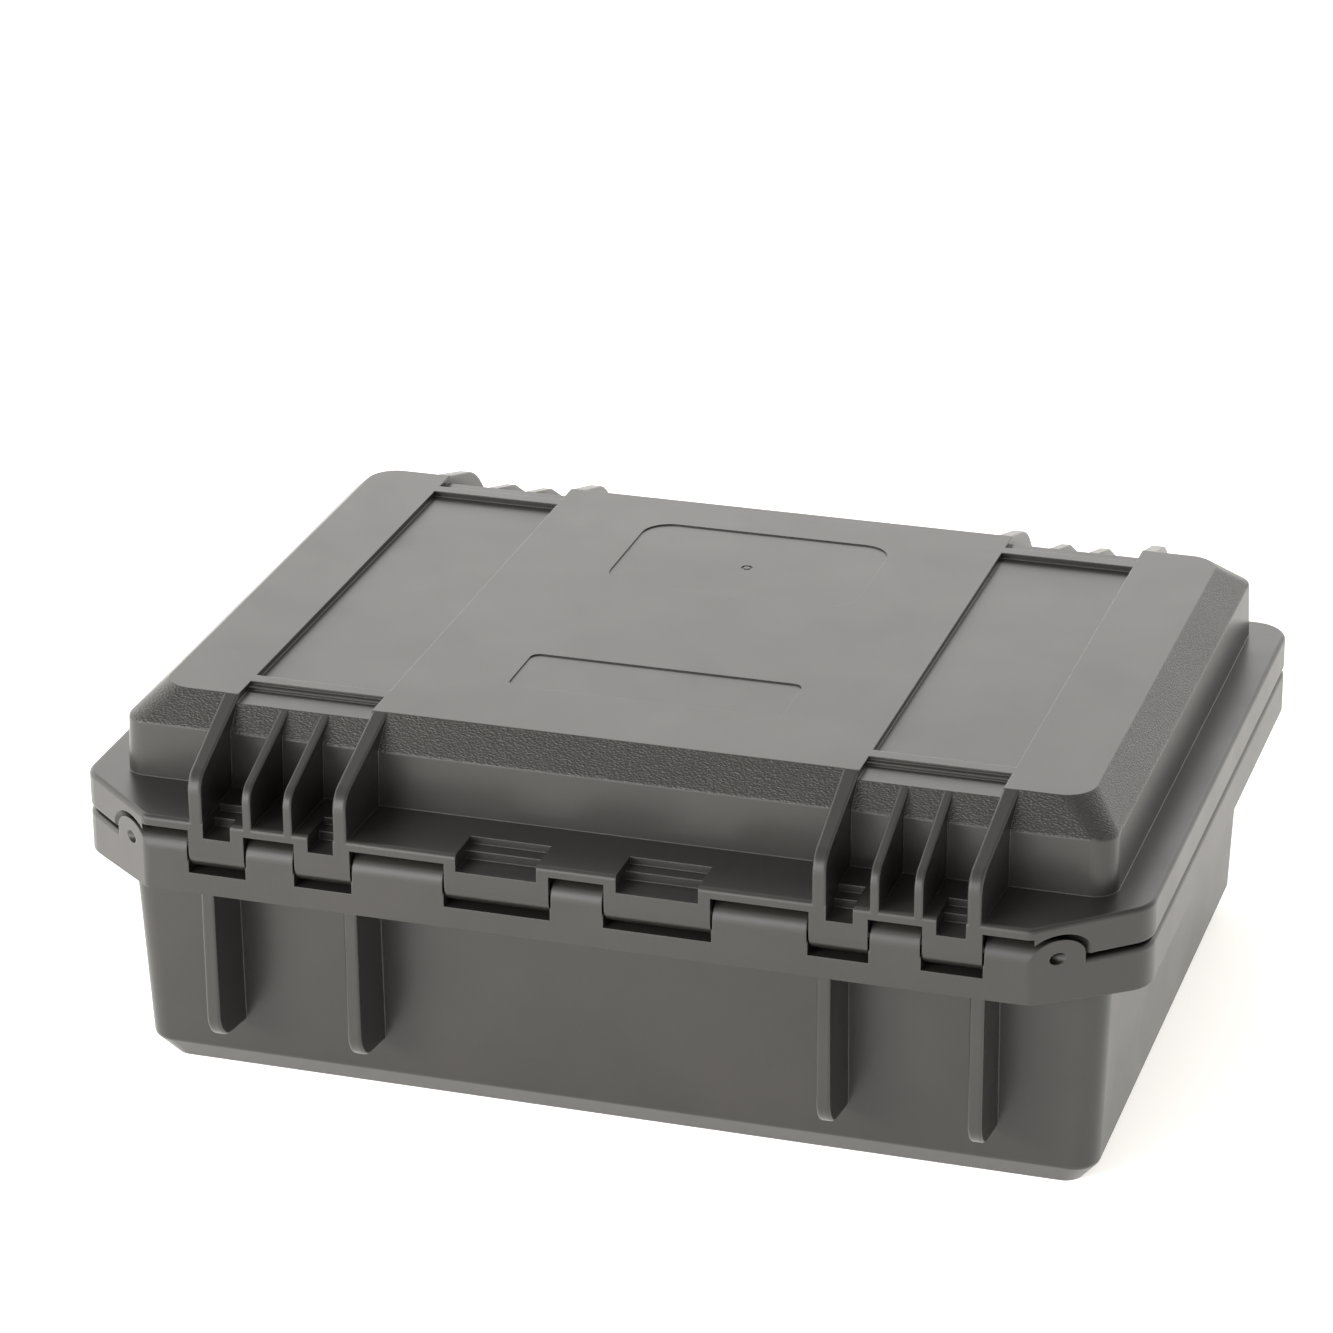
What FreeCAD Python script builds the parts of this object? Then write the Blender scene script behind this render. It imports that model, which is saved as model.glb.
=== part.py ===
import FreeCAD, Part
import math
import os

# Waterproof hard carrying case for a folding drone, closed, lying on its base.
# Millimetres. X is the width, -Y the front (latches, handle), +Y the hinge side,
# +Z up. The origin is the centre of the base's underside.

V = FreeCAD.Vector

# ---- driving dimensions -------------------------------------------------------
TOTAL_HEIGHT = 155.0
WALL = 3.2                      # shell wall
CLEAR = 0.4                     # side clearance between moving plastic parts

# base shell: half width, half depth, corner radius, height
BASE_FLOOR_EDGE = (180.8, 122.4, 7.0, 0.0)
BASE_WALL_FOOT = (188.0, 129.6, 10.0, 9.5)
BASE_WALL_TOP = (191.8, 131.8, 8.5, 106.3)
BASE_FLOOR_THICK = 3.6
BASE_FLANGE_LOW = 89.2          # sides and front
BASE_FLANGE_LOW_BACK = 92.2     # hinge face; the underside rises from the cut corners
BASE_RIM = 106.3
FLANGE_SKIRT = 3.0              # wall of the hollow flanges
FLANGE_ROOF = 97.5              # underside of the base flange's top plate

# lid shell
LID_RIM = 107.9
LID_FLANGE_TOP = 122.0
LID_WALL_FOOT = (192.4, 131.0, 9.0, LID_RIM)
LID_BEVEL_LOW = (191.3, 129.8, 9.0, 144.0)
LID_PLATEAU = (180.0, 118.5, 12.0, TOTAL_HEIGHT)
LID_CEILING = 150.4             # inside face of the lid's roof

# flange outline shared by both shells
FLANGE_X = 206.5
FLANGE_FRONT = -137.0
FLANGE_BACK = 163.3
CHAMFER_SIDE_Y = 131.5          # where the cut rear corner leaves the side
CHAMFER_BACK_X = 169.5          # where it meets the hinge face

# hinge
KNUCKLE_R = 7.2
AXIS_Y = FLANGE_BACK - KNUCKLE_R
AXIS_Z = 108.8
PIN_R = 2.25
BORE_R = 2.30
KNUCKLE_JOINTS = (10.2, 51.3, 87.4, 110.1, 129.4, 152.2)   # |x| where knuckles meet
RECESS_FLOOR = 100.65           # base recess under a lid knuckle
SLOT_R = 9.3                    # hollow in the lid over a base knuckle
HINGE_PIN_ENDS = (0.6, 172.0)

# ribs
RIB_X = (91.5, 148.5)           # thick ribs
RIB_THICK = 5.4
RIB_ROOT = 6.4                  # thickness of a lid rib where it meets the top
FIN_X = (112.0, 128.2)          # thin ribs between them
FIN_THICK = 3.6
LATCH_X = sum(RIB_X) / 2

# recessed stacking strips in the lid
STRIP_IN, STRIP_OUT = 94.2, 148.0
STRIP_DEPTH = 2.4
STRIP_END = 99.9
STEP_EDGES = ((105.6, 1.3), (108.2, 2.6))   # distance from centre, drop

# latches: pinned to the lid's front ribs, hooked under a ledge of the base
LATCH_PIN_Y, LATCH_PIN_Z = -152.5, 129.0
LATCH_PIN_R = 2.0
LATCH_BORE_R = 2.05
EAR_R = 7.2
LATCH_HALF = 25.2
LATCH_INNER, LATCH_OUTER = -156.6, -161.0
CATCH_EDGE = -147.0
CATCH_LOW = 90.5
RIB_FRONT = 163.3               # front ribs guard the latches on both sides

# handle
HANDLE_Y, HANDLE_Z = -150.0, 79.0
HANDLE_PIN_R = 2.5
ARM_X = (55.5, 64.5)
EAR_GAPS = ((49.5, 55.0), (65.0, 70.5))
GRIP_Z = 37.0
GRIP_HALF = 50.0

# purge valve
VALVE_Z = 78.0
VALVE_PAD_Y = -134.6

# padlock lugs
LUG_X, LUG_Y = 174.0, -145.0
LUG_LOW, LUG_TOP = 92.5, 119.8
LUG_HOLE_R = 5.0
GUARD_R, GUARD_BORE_R = 4.97, 3.6     # steel sleeve pressed into each lug
GUARD_HEAD_R = 6.6

# seal
SEAL_X, SEAL_Y = 193.6, 132.6   # centre line of tongue, groove and seal
TONGUE = 2.6
GROOVE = 4.4
GROOVE_ROOF = 113.0
SEAL_WIDTH = 4.0
SEAL_LOW = 109.7

# foam
FOAM_GAP = 0.5
PAD_TOP = 18.0
TRAY_TOP = 104.5
LID_FOAM_LOW = 110.2


# ---- small geometry helpers ---------------------------------------------------
def outline(points, place):
    """Closed wire through (a, b, radius) corners; place maps (a, b) to space."""
    count = len(points)
    starts, ends, middles = [], [], []
    for i in range(count):
        before, here, after = points[i - 1], points[i], points[(i + 1) % count]
        a, b = here[0], here[1]
        radius = here[2] if len(here) > 2 else 0.0
        to_before = V(before[0] - a, before[1] - b, 0)
        to_after = V(after[0] - a, after[1] - b, 0)
        to_before.normalize()
        to_after.normalize()
        half = to_before.getAngle(to_after) / 2
        if radius <= 0:
            starts.append((a, b))
            ends.append((a, b))
            middles.append(None)
            continue
        reach = radius / math.tan(half)
        bisector = to_before + to_after
        bisector.normalize()
        inset = radius / math.sin(half) - radius
        starts.append((a + to_before.x * reach, b + to_before.y * reach))
        ends.append((a + to_after.x * reach, b + to_after.y * reach))
        middles.append((a + bisector.x * inset, b + bisector.y * inset))
    edges = []
    for i in range(count):
        if middles[i] is not None:
            arc = Part.Arc(place(*starts[i]), place(*middles[i]), place(*ends[i]))
            edges.append(arc.toShape())
        tail, head = place(*ends[i]), place(*starts[(i + 1) % count])
        if tail.distanceToPoint(head) > 1e-6:
            edges.append(Part.LineSegment(tail, head).toShape())
    return Part.Wire(edges)


def plan_prism(points, z0, z1):
    wire = outline(points, lambda a, b: V(a, b, z0))
    return Part.Face(wire).extrude(V(0, 0, z1 - z0))


def side_prism(points, x0, x1):
    """Prism along X of an outline given in (y, z)."""
    wire = outline(points, lambda a, b: V(x0, a, b))
    return Part.Face(wire).extrude(V(x1 - x0, 0, 0))


def front_prism(points, y0, y1):
    """Prism along Y of an outline given in (x, z)."""
    wire = outline(points, lambda a, b: V(a, y0, b))
    return Part.Face(wire).extrude(V(0, y1 - y0, 0))


def box(x0, x1, y0, y1, z0, z1):
    return Part.makeBox(x1 - x0, y1 - y0, z1 - z0, V(x0, y0, z0))


def rod(radius, x0, x1, y, z):
    return Part.makeCylinder(radius, x1 - x0, V(x0, y, z), V(1, 0, 0))


def rect(half_x, half_y, radius):
    return [(-half_x, -half_y, radius), (half_x, -half_y, radius),
            (half_x, half_y, radius), (-half_x, half_y, radius)]


def shell_loft(levels, inset=0.0):
    """Solid through rounded rectangles (half x, half y, radius, z), with flat sides."""
    wires = []
    for half_x, half_y, radius, z in levels:
        corners = rect(half_x - inset, half_y - inset, max(radius - inset, 2.0))
        wires.append(outline(corners, lambda a, b, z=z: V(a, b, z)))
    faces = []
    for face in Part.makeLoft(wires, True, True).Faces:
        if len(face.OuterWire.Edges) == 4 and face.findPlane(1e-4) is not None:
            points = [vertex.Point for vertex in face.OuterWire.OrderedVertexes]
            face = Part.Face(Part.makePolygon(points + points[:1]))
        faces.append(face)
    shell = Part.makeShell(faces)
    shell.sewShape()
    solid = Part.makeSolid(shell.Shells[0])
    if solid.Volume < 0:
        solid.reverse()
    return solid


def ring(outer, inner, z0, z1):
    return plan_prism(outer, z0, z1).cut(plan_prism(inner, z0 - 1, z1 + 1))


def join(shapes):
    body = shapes[0]
    for shape in shapes[1:]:
        body = body.fuse(shape)
    return body.removeSplitter()


def mirror_x(shape):
    return shape.mirror(V(0, 0, 0), V(1, 0, 0))


def both_sides(shapes):
    return shapes + [mirror_x(shape) for shape in shapes]


def edges_at(shape, z, margin=0.01):
    """Edges that lie in the horizontal plane at z."""
    found = []
    for edge in shape.Edges:
        box_ = edge.BoundBox
        if abs(box_.ZMin - z) < margin and abs(box_.ZMax - z) < margin:
            found.append(edge)
    return found


def soften(rib, radius, root_y):
    """Round a rib's long edges outside root_y, leaving its corner lines and its root."""
    picked = []
    for edge in rib.Edges:
        box_ = edge.BoundBox
        outside = max(abs(box_.YMin), abs(box_.YMax)) > root_y + 1
        along_profile = box_.XLength < 3 and max(box_.YLength, box_.ZLength) > 1
        crosses_root = min(abs(box_.YMin), abs(box_.YMax)) < root_y and box_.ZLength > box_.YLength * 20
        if outside and along_profile and not crosses_root:
            picked.append(edge)
    return rib.makeFillet(radius, picked)


def save(name, shape):
    solids = shape.Solids
    result = solids[0] if len(solids) == 1 else Part.makeCompound(solids)
    result.exportStep("parts/" + name + ".step")
    valid = all(solid.isValid() for solid in solids)
    print(name, len(solids), "solid(s)", round(result.Volume / 1000, 1), "cm3", valid)


# ---- shapes shared by both shells ---------------------------------------------
def flange_points(inset=0.0):
    x, back, front = FLANGE_X - inset, FLANGE_BACK - inset, FLANGE_FRONT + inset
    shift = inset * math.tan(math.radians(22.5))
    return [(-x, front, 14 - inset), (x, front, 14 - inset),
            (x, CHAMFER_SIDE_Y - shift, 14 - inset),
            (CHAMFER_BACK_X - shift, back, 5),
            (shift - CHAMFER_BACK_X, back, 5),
            (-x, CHAMFER_SIDE_Y - shift, 14 - inset)]


def knuckle_spans(for_lid):
    """(x0, x1) of the base's or the lid's hinge knuckles, left to right."""
    marks = (-200.0,) + tuple(-x for x in reversed(KNUCKLE_JOINTS))
    marks += KNUCKLE_JOINTS + (200.0,)
    spans = list(zip(marks[:-1], marks[1:]))
    return spans[1::2] if for_lid else spans[0::2]


def seal_ring(width, z0, z1):
    outer = rect(SEAL_X + width / 2, SEAL_Y + width / 2, 12 + width / 2)
    inner = rect(SEAL_X - width / 2, SEAL_Y - width / 2, 12 - width / 2)
    return ring(outer, inner, z0, z1)


def padlock_lug(z0, z1):
    points = [(LUG_X - 10, -130), (LUG_X + 10, -130),
              (LUG_X + 8, LUG_Y - 7.5, 6.5), (LUG_X - 8, LUG_Y - 7.5, 6.5)]
    return plan_prism(points, z0, z1)


# ---- base shell -----------------------------------------------------------------
def base_flange():
    plate = plan_prism(flange_points(), BASE_FLANGE_LOW, BASE_RIM)
    plate = plate.makeFillet(1.9, edges_at(plate, BASE_RIM))
    plate = plate.makeFillet(0.9, edges_at(plate, BASE_FLANGE_LOW))
    hollow = plan_prism(flange_points(FLANGE_SKIRT), BASE_FLANGE_LOW - 1, FLANGE_ROOF)
    rise = (BASE_FLANGE_LOW_BACK - BASE_FLANGE_LOW) / (FLANGE_BACK - CHAMFER_SIDE_Y)
    far = FLANGE_BACK + 10
    under_back = [(CHAMFER_SIDE_Y, BASE_FLANGE_LOW), (far, BASE_FLANGE_LOW_BACK + 10 * rise),
                  (far, BASE_FLANGE_LOW - 10), (CHAMFER_SIDE_Y, BASE_FLANGE_LOW - 10)]
    return plate.cut([hollow, side_prism(under_back, -FLANGE_X - 1, FLANGE_X + 1)])


def base_back_rib(x):
    depth = 155.8
    points = [(126, FLANGE_ROOF + 1), (depth, FLANGE_ROOF + 1),
              (depth, 26.5, 12), (126, 22.5)]
    return soften(side_prism(points, x - RIB_THICK / 2, x + RIB_THICK / 2), 1.2, 127)


def base_front_rib(x):
    points = [(-126, BASE_RIM), (-RIB_FRONT, BASE_RIM, 1.5), (-RIB_FRONT, 54, 26), (-126, 26)]
    return soften(side_prism(points, x - RIB_THICK / 2, x + RIB_THICK / 2), 1.2, 127)


def catch_ledge():
    """Ledge between the front ribs that a latch hooks under, with its holding lip."""
    half = LATCH_HALF + 1
    ledge = [(-130, CATCH_LOW + 7), (CATCH_EDGE, CATCH_LOW + 7, 1.5),
             (CATCH_EDGE, CATCH_LOW - 0.7), (CATCH_EDGE + 0.8, CATCH_LOW - 0.65),
             (CATCH_EDGE + 2.2, CATCH_LOW), (-130, CATCH_LOW)]
    return side_prism(ledge, LATCH_X - half, LATCH_X + half)


def handle_ear(x0, x1):
    points = [(-126, BASE_FLANGE_LOW + 4), (-136.5, BASE_FLANGE_LOW + 4),
              (HANDLE_Y - 8.0, HANDLE_Z + 6, 6), (HANDLE_Y - 8.0, HANDLE_Z - 8, 7),
              (HANDLE_Y + 6, HANDLE_Z - 8, 4), (-126, 60)]
    return side_prism(points, x0, x1)


def base_knuckle(x0, x1):
    column = box(x0, x1, AXIS_Y - KNUCKLE_R, FLANGE_BACK, FLANGE_ROOF, AXIS_Z)
    return column.fuse(rod(KNUCKLE_R, x0, x1, AXIS_Y, AXIS_Z))


def base_shell():
    outer = shell_loft([BASE_FLOOR_EDGE, BASE_WALL_FOOT, BASE_WALL_TOP])
    outer = outer.makeFillet(2.5, edges_at(outer, BASE_WALL_FOOT[3]))
    cavity_levels = [(BASE_FLOOR_EDGE[0], BASE_FLOOR_EDGE[1], BASE_FLOOR_EDGE[2], BASE_FLOOR_THICK),
                     (BASE_WALL_FOOT[0], BASE_WALL_FOOT[1], BASE_WALL_FOOT[2], BASE_WALL_FOOT[3] + 3),
                     (BASE_WALL_TOP[0], BASE_WALL_TOP[1], BASE_WALL_TOP[2], BASE_RIM + 4)]
    cavity = shell_loft(cavity_levels, WALL)
    parts = [outer, base_flange()]
    parts += both_sides([base_back_rib(x) for x in RIB_X])
    parts += both_sides([base_front_rib(x) for x in RIB_X])
    parts += both_sides([catch_ledge(), padlock_lug(LUG_LOW, BASE_RIM)])
    parts += both_sides([handle_ear(x0, x1) for x0, x1 in EAR_GAPS])
    valve_pad = Part.makeCylinder(14, 8, V(0, VALVE_PAD_Y, VALVE_Z), V(0, 1, 0))
    body = join(parts + [valve_pad])
    knuckles = [base_knuckle(x0 + CLEAR, x1 - CLEAR) for x0, x1 in knuckle_spans(False)]
    corner_limit = plan_prism(flange_points(), BASE_FLANGE_LOW, AXIS_Z + 20)
    knuckles = [knuckle.common(corner_limit) for knuckle in knuckles]
    recesses = [box(x0, x1, AXIS_Y - KNUCKLE_R - 0.7, FLANGE_BACK + 5, RECESS_FLOOR, BASE_RIM + 5)
                for x0, x1 in knuckle_spans(True)]
    body = join([body] + [seal_ring(TONGUE, BASE_RIM - 1, SEAL_LOW - 0.3)])
    body = body.cut([cavity] + recesses)
    body = join([body] + knuckles)
    holes = [rod(BORE_R, -200, 200, AXIS_Y, AXIS_Z)]
    holes += [rod(HANDLE_PIN_R + 0.02, -71, 71, HANDLE_Y, HANDLE_Z)]
    holes += [Part.makeCylinder(6.0, 30, V(0, VALVE_PAD_Y - 10, VALVE_Z), V(0, 1, 0))]
    holes += both_sides([Part.makeCylinder(LUG_HOLE_R, 40, V(LUG_X, LUG_Y, 80))])
    return body.cut(holes)


# ---- lid shell --------------------------------------------------------------------
def lid_flange():
    plate = plan_prism(flange_points(), LID_RIM, LID_FLANGE_TOP)
    plate = plate.makeFillet(1.8, edges_at(plate, LID_FLANGE_TOP))
    plate = plate.makeFillet(1.1, edges_at(plate, LID_RIM))
    roof = LID_FLANGE_TOP - FLANGE_SKIRT
    side_hollow = box(SEAL_X + 4.2, FLANGE_X - FLANGE_SKIRT, -118, 118, LID_RIM - 1, roof)
    back_hollow = box(-162, 162, SEAL_Y + 4.6, AXIS_Y - SLOT_R - 2.8, LID_RIM - 1, roof)
    return plate.cut(both_sides([side_hollow]) + [back_hollow])


def tapered(profile, x, root_y, tip_y):
    """Rib from a (y, z) profile; its root is thicker and flush with the strip's side wall."""
    blank = side_prism(profile, x - 12, x + 12)
    tip = (x - RIB_THICK / 2, x + RIB_THICK / 2)
    root = (STRIP_OUT, STRIP_OUT + RIB_ROOT) if x > LATCH_X else (STRIP_IN - RIB_ROOT, STRIP_IN)
    points = [(root[0], root_y), (root[1], root_y), (tip[1], tip_y), (tip[0], tip_y)]
    return blank.common(plan_prism(points, LID_RIM - 10, TOTAL_HEIGHT + 5))


def lid_back_rib(x):
    profile = [(112, TOTAL_HEIGHT), (118.5, TOTAL_HEIGHT), (FLANGE_BACK, 139.4, 9),
               (FLANGE_BACK, LID_FLANGE_TOP - 6), (112, LID_FLANGE_TOP - 6)]
    return soften(tapered(profile, x, 110, FLANGE_BACK + 1), 1.1, 114)


def lid_back_fin(x):
    top = TOTAL_HEIGHT - STEP_EDGES[1][1]
    profile = [(117, top), (121, top), (FLANGE_BACK, 137.0, 8),
               (FLANGE_BACK, LID_FLANGE_TOP - 4), (117, LID_FLANGE_TOP - 4)]
    return soften(side_prism(profile, x - FIN_THICK / 2, x + FIN_THICK / 2), 0.9, 117.5)


def lid_front_rib(x):
    profile = [(-112, TOTAL_HEIGHT), (-118.5, TOTAL_HEIGHT), (-147.5, 146.4, 24),
               (-RIB_FRONT, 128.5, 10), (-RIB_FRONT, LID_RIM, 1.5), (-112, LID_RIM)]
    return soften(tapered(profile, x, -110, -RIB_FRONT - 1), 1.1, 114)


def lid_front_fin(x):
    """Thin rib that ends in an ear around the latch pin."""
    slope = [(-114, 152.2), (-117, 152.2), (-140, 145.2, 8), (LATCH_PIN_Y - 3.4, LATCH_PIN_Z + 6.3),
             (LATCH_PIN_Y, LATCH_PIN_Z), (LATCH_PIN_Y + 2, LATCH_PIN_Z - 6.9),
             (-134, LID_FLANGE_TOP - 4), (-114, LID_FLANGE_TOP - 4)]
    x0, x1 = x - FIN_THICK / 2, x + FIN_THICK / 2
    fin = side_prism(slope, x0, x1).fuse(rod(EAR_R, x0, x1, LATCH_PIN_Y, LATCH_PIN_Z))
    return fin.removeSplitter()


def strip_cuts():
    """Recessed strip with its end walls and the two steps down to each edge."""
    top = TOTAL_HEIGHT
    floor = box(STRIP_IN, STRIP_OUT, -STRIP_END, STRIP_END, top - STRIP_DEPTH, top + 10)
    cuts = [floor]
    for side in (-1, 1):
        for start, drop in STEP_EDGES:
            y0, y1 = sorted((side * start, side * 135.0))
            cuts.append(box(STRIP_IN, STRIP_OUT, y0, y1, top - drop, top + 10))
    bay = [(-116.3, 152.4), (-130.6, 139.9), (-140, 139.9), (-140, 165), (-116.3, 165)]
    cuts.append(side_prism(bay, STRIP_IN, STRIP_OUT))
    return cuts


def label_recess(half_x, y0, y1, radius):
    points = [(-half_x, y0, radius), (half_x, y0, radius), (half_x, y1, radius), (-half_x, y1, radius)]
    return plan_prism(points, TOTAL_HEIGHT - 0.5, TOTAL_HEIGHT + 5)


def gate_mark():
    """Ring left where the plastic was injected, in the middle of the large panel."""
    low = TOTAL_HEIGHT - 0.85
    place = V(0, -57, low)
    return Part.makeCylinder(2.3, 2, place).cut(Part.makeCylinder(1.3, 3, place))


def lid_pocket(x0, x1):
    """Open-fronted pocket in the hinge flange, with a ledge along its back."""
    floor, ledge = 115.5, 119.0
    deep = box(x0, x1, 151.5, FLANGE_BACK + 3, floor, LID_FLANGE_TOP + 3)
    shallow = box(x0, x1, 145.6, 153, ledge, LID_FLANGE_TOP + 3)
    return deep.fuse(shallow)


def lid_knuckle(x0, x1):
    column = box(x0, x1, AXIS_Y - KNUCKLE_R, FLANGE_BACK, AXIS_Z, LID_FLANGE_TOP - 3)
    return column.fuse(rod(KNUCKLE_R, x0, x1, AXIS_Y, AXIS_Z))


def knuckle_slot(x0, x1):
    block = box(x0, x1, AXIS_Y - 0.5, FLANGE_BACK + 5, AXIS_Z - 12, AXIS_Z + SLOT_R)
    inner = box(x0, x1, AXIS_Y - SLOT_R, AXIS_Y, AXIS_Z - 12, AXIS_Z)
    return rod(SLOT_R, x0, x1, AXIS_Y, AXIS_Z).fuse([block, inner])


def end_slot(x0, x1):
    """Arch in the skirt over an end knuckle, where the cut corner leaves it bare."""
    inner = box(x0, x1, AXIS_Y - SLOT_R, FLANGE_BACK + 5, AXIS_Z - 12, AXIS_Z)
    return rod(SLOT_R, x0, x1, AXIS_Y, AXIS_Z).fuse(inner)


def lid_shell():
    walls = shell_loft([LID_WALL_FOOT, LID_BEVEL_LOW, LID_PLATEAU])
    walls = walls.makeFillet(1.5, edges_at(walls, LID_BEVEL_LOW[3]))
    walls = walls.makeFillet(0.6, edges_at(walls, TOTAL_HEIGHT))
    cavity = shell_loft([LID_WALL_FOOT[:3] + (LID_RIM - 2,),
                         LID_BEVEL_LOW[:3] + (139.5,),
                         (LID_PLATEAU[0] - 1.6, LID_PLATEAU[1] - 1.6, 13.0, LID_CEILING)], WALL)
    top = walls.cut(both_sides(strip_cuts()))
    top = top.cut([label_recess(51.5, -92.6, -27.0, 12), label_recess(54.0, 50.0, 81.5, 4),
                   gate_mark()])
    ribs = [lid_back_rib(x) for x in RIB_X] + [lid_back_fin(x) for x in FIN_X]
    ribs += [lid_front_rib(x) for x in RIB_X] + [lid_front_fin(x) for x in FIN_X]
    lugs = both_sides([padlock_lug(LID_RIM, LUG_TOP)])
    body = join([top, lid_flange()] + both_sides(ribs) + lugs)
    slots = [knuckle_slot(x0 - CLEAR, x1 + CLEAR) for x0, x1 in knuckle_spans(False)[1:-1]]
    first, last = knuckle_spans(True)[0][0], knuckle_spans(True)[-1][1]
    slots += [end_slot(last - CLEAR, 200), end_slot(-200, first + CLEAR)]
    slots += both_sides([knuckle_slot(last - CLEAR, CHAMFER_BACK_X + 1)])
    under = box(-151.9, 151.9, AXIS_Y - KNUCKLE_R - 1.5, FLANGE_BACK + 5, AXIS_Z - 20, AXIS_Z)
    pockets = [(15.2, 46.4), (RIB_X[0] + RIB_THICK / 2, 104.2), (134.9, RIB_X[1] - RIB_THICK / 2)]
    cuts = [cavity, under, seal_ring(GROOVE, LID_RIM - 2, GROOVE_ROOF)] + slots
    cuts += both_sides([lid_pocket(x0, x1) for x0, x1 in pockets])
    body = body.cut(cuts)
    knuckles = [lid_knuckle(x0 + CLEAR, x1 - CLEAR) for x0, x1 in knuckle_spans(True)]
    body = join([body] + [knuckle.cut(both_sides([lid_pocket(x0, x1) for x0, x1 in pockets]))
                          for knuckle in knuckles])
    holes = [rod(BORE_R, -152, 152, AXIS_Y, AXIS_Z)]
    latch_hole = rod(LATCH_PIN_R + 0.02, RIB_X[0] - 2, RIB_X[1] + 2, LATCH_PIN_Y, LATCH_PIN_Z)
    holes += both_sides([latch_hole, Part.makeCylinder(LUG_HOLE_R, 40, V(LUG_X, LUG_Y, 90))])
    return body.cut(holes)


# ---- latches ----------------------------------------------------------------------
def latch():
    """Right-hand latch: plate, three knuckles on the pin, claw, finger lip, ribs."""
    y, z = LATCH_PIN_Y, LATCH_PIN_Z
    x0, x1 = LATCH_X - LATCH_HALF, LATCH_X + LATCH_HALF
    claw_top = CATCH_LOW - 0.3
    plate_points = [(LATCH_INNER, z - 2), (LATCH_OUTER, z - 2), (LATCH_OUTER, 80, 12),
                    (LATCH_OUTER - 6.5, 70.0, 2.0), (LATCH_OUTER - 2.4, 67.5, 1.6),
                    (LATCH_INNER, 78)]
    plate = side_prism(plate_points, x0, x1)
    claw_points = [(LATCH_INNER - 1, claw_top - 9), (LATCH_INNER - 1, claw_top - 1.5),
                   (CATCH_EDGE + 2.5, claw_top - 1.5), (CATCH_EDGE + 3.5, claw_top),
                   (CATCH_EDGE + 6.0, claw_top), (CATCH_EDGE + 6.0, claw_top - 3.6, 1.5)]
    claw = side_prism(claw_points, x0 + 2.5, x1 - 2.5)
    web = [(y + 1.5, z - 6.8), (LATCH_INNER - 1, z - 15), (LATCH_OUTER, z - 12),
           (LATCH_OUTER, z + 3, 6), (y, z + 7), (y, z)]
    solids = [plate, claw, side_prism(web, x0, x1), rod(7.0, x0, x1, y, z)]
    fin_slots = []
    for fin in FIN_X:
        a, b = fin - FIN_THICK / 2 - CLEAR, fin + FIN_THICK / 2 + CLEAR
        fin_slots += [rod(EAR_R + 0.5, a, b, y, z), box(a, b, y - 12, y + 8, z - 6.5, z + 10)]
    stiffener = [(LATCH_INNER - 1, z - 10), (LATCH_INNER + 2.6, z - 14), (LATCH_INNER + 2.6, 99.5),
                 (LATCH_INNER - 1, 97)]
    solids += [side_prism(stiffener, a, a + 2.2) for a in (x0 + 6, LATCH_X - 1.1, x1 - 8.2)]
    body = join(solids)
    thumb_groove = front_prism([(LATCH_X - 18, 90, 4), (LATCH_X + 18, 90, 4),
                                (LATCH_X + 18, 118, 4), (LATCH_X - 18, 118, 4)],
                               LATCH_OUTER - 2, LATCH_OUTER + 1.2)
    return body.cut([thumb_groove, rod(LATCH_BORE_R, x0 - 1, x1 + 1, y, z)] + fin_slots)


def latch_pin():
    return rod(LATCH_PIN_R, RIB_X[0] - 1.5, RIB_X[1] + 1.5, LATCH_PIN_Y, LATCH_PIN_Z)


# ---- padlock guards ------------------------------------------------------------------
def padlock_guard(z_open, z_head):
    """Flanged steel sleeve in a lug; z_head is the lug face its flange sits on."""
    outward = 1 if z_head > z_open else -1
    low, high = sorted((z_open + 0.3 * outward, z_head + 0.9 * outward))
    sleeve = Part.makeCylinder(GUARD_R, high - low, V(LUG_X, LUG_Y, low))
    head_low = min(z_head, z_head + 0.9 * outward)
    head = Part.makeCylinder(GUARD_HEAD_R, 0.9, V(LUG_X, LUG_Y, head_low))
    bore = Part.makeCylinder(GUARD_BORE_R, 60, V(LUG_X, LUG_Y, 80))
    return sleeve.fuse(head).removeSplitter().cut(bore)


# ---- handle ------------------------------------------------------------------------
def handle_frame():
    """Two arms and the core bar of the grip."""
    arm = [(HANDLE_Y - 7, HANDLE_Z + 7, 6.8), (HANDLE_Y - 7, GRIP_Z - 7.5, 6),
           (HANDLE_Y + 7, GRIP_Z - 7.5, 6), (HANDLE_Y + 7, HANDLE_Z + 7, 6.8)]
    arms = both_sides([side_prism(arm, *ARM_X)])
    bar = [(HANDLE_Y - 5, GRIP_Z + 4.5, 2), (HANDLE_Y - 5, GRIP_Z - 4.5, 2),
           (HANDLE_Y + 5, GRIP_Z - 4.5, 2), (HANDLE_Y + 5, GRIP_Z + 4.5, 2)]
    core = side_prism(bar, -ARM_X[0] - 1, ARM_X[0] + 1)
    shoulder = [(HANDLE_Y - 7, GRIP_Z + 7.5, 6), (HANDLE_Y - 7, GRIP_Z - 7.5, 6),
                (HANDLE_Y + 7, GRIP_Z - 7.5, 6), (HANDLE_Y + 7, GRIP_Z + 7.5, 6)]
    collars = both_sides([side_prism(shoulder, GRIP_HALF, ARM_X[0] + 1)])
    body = join(arms + [core] + collars)
    return body.cut(rod(HANDLE_PIN_R + 0.05, -70, 70, HANDLE_Y, HANDLE_Z))


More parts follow.
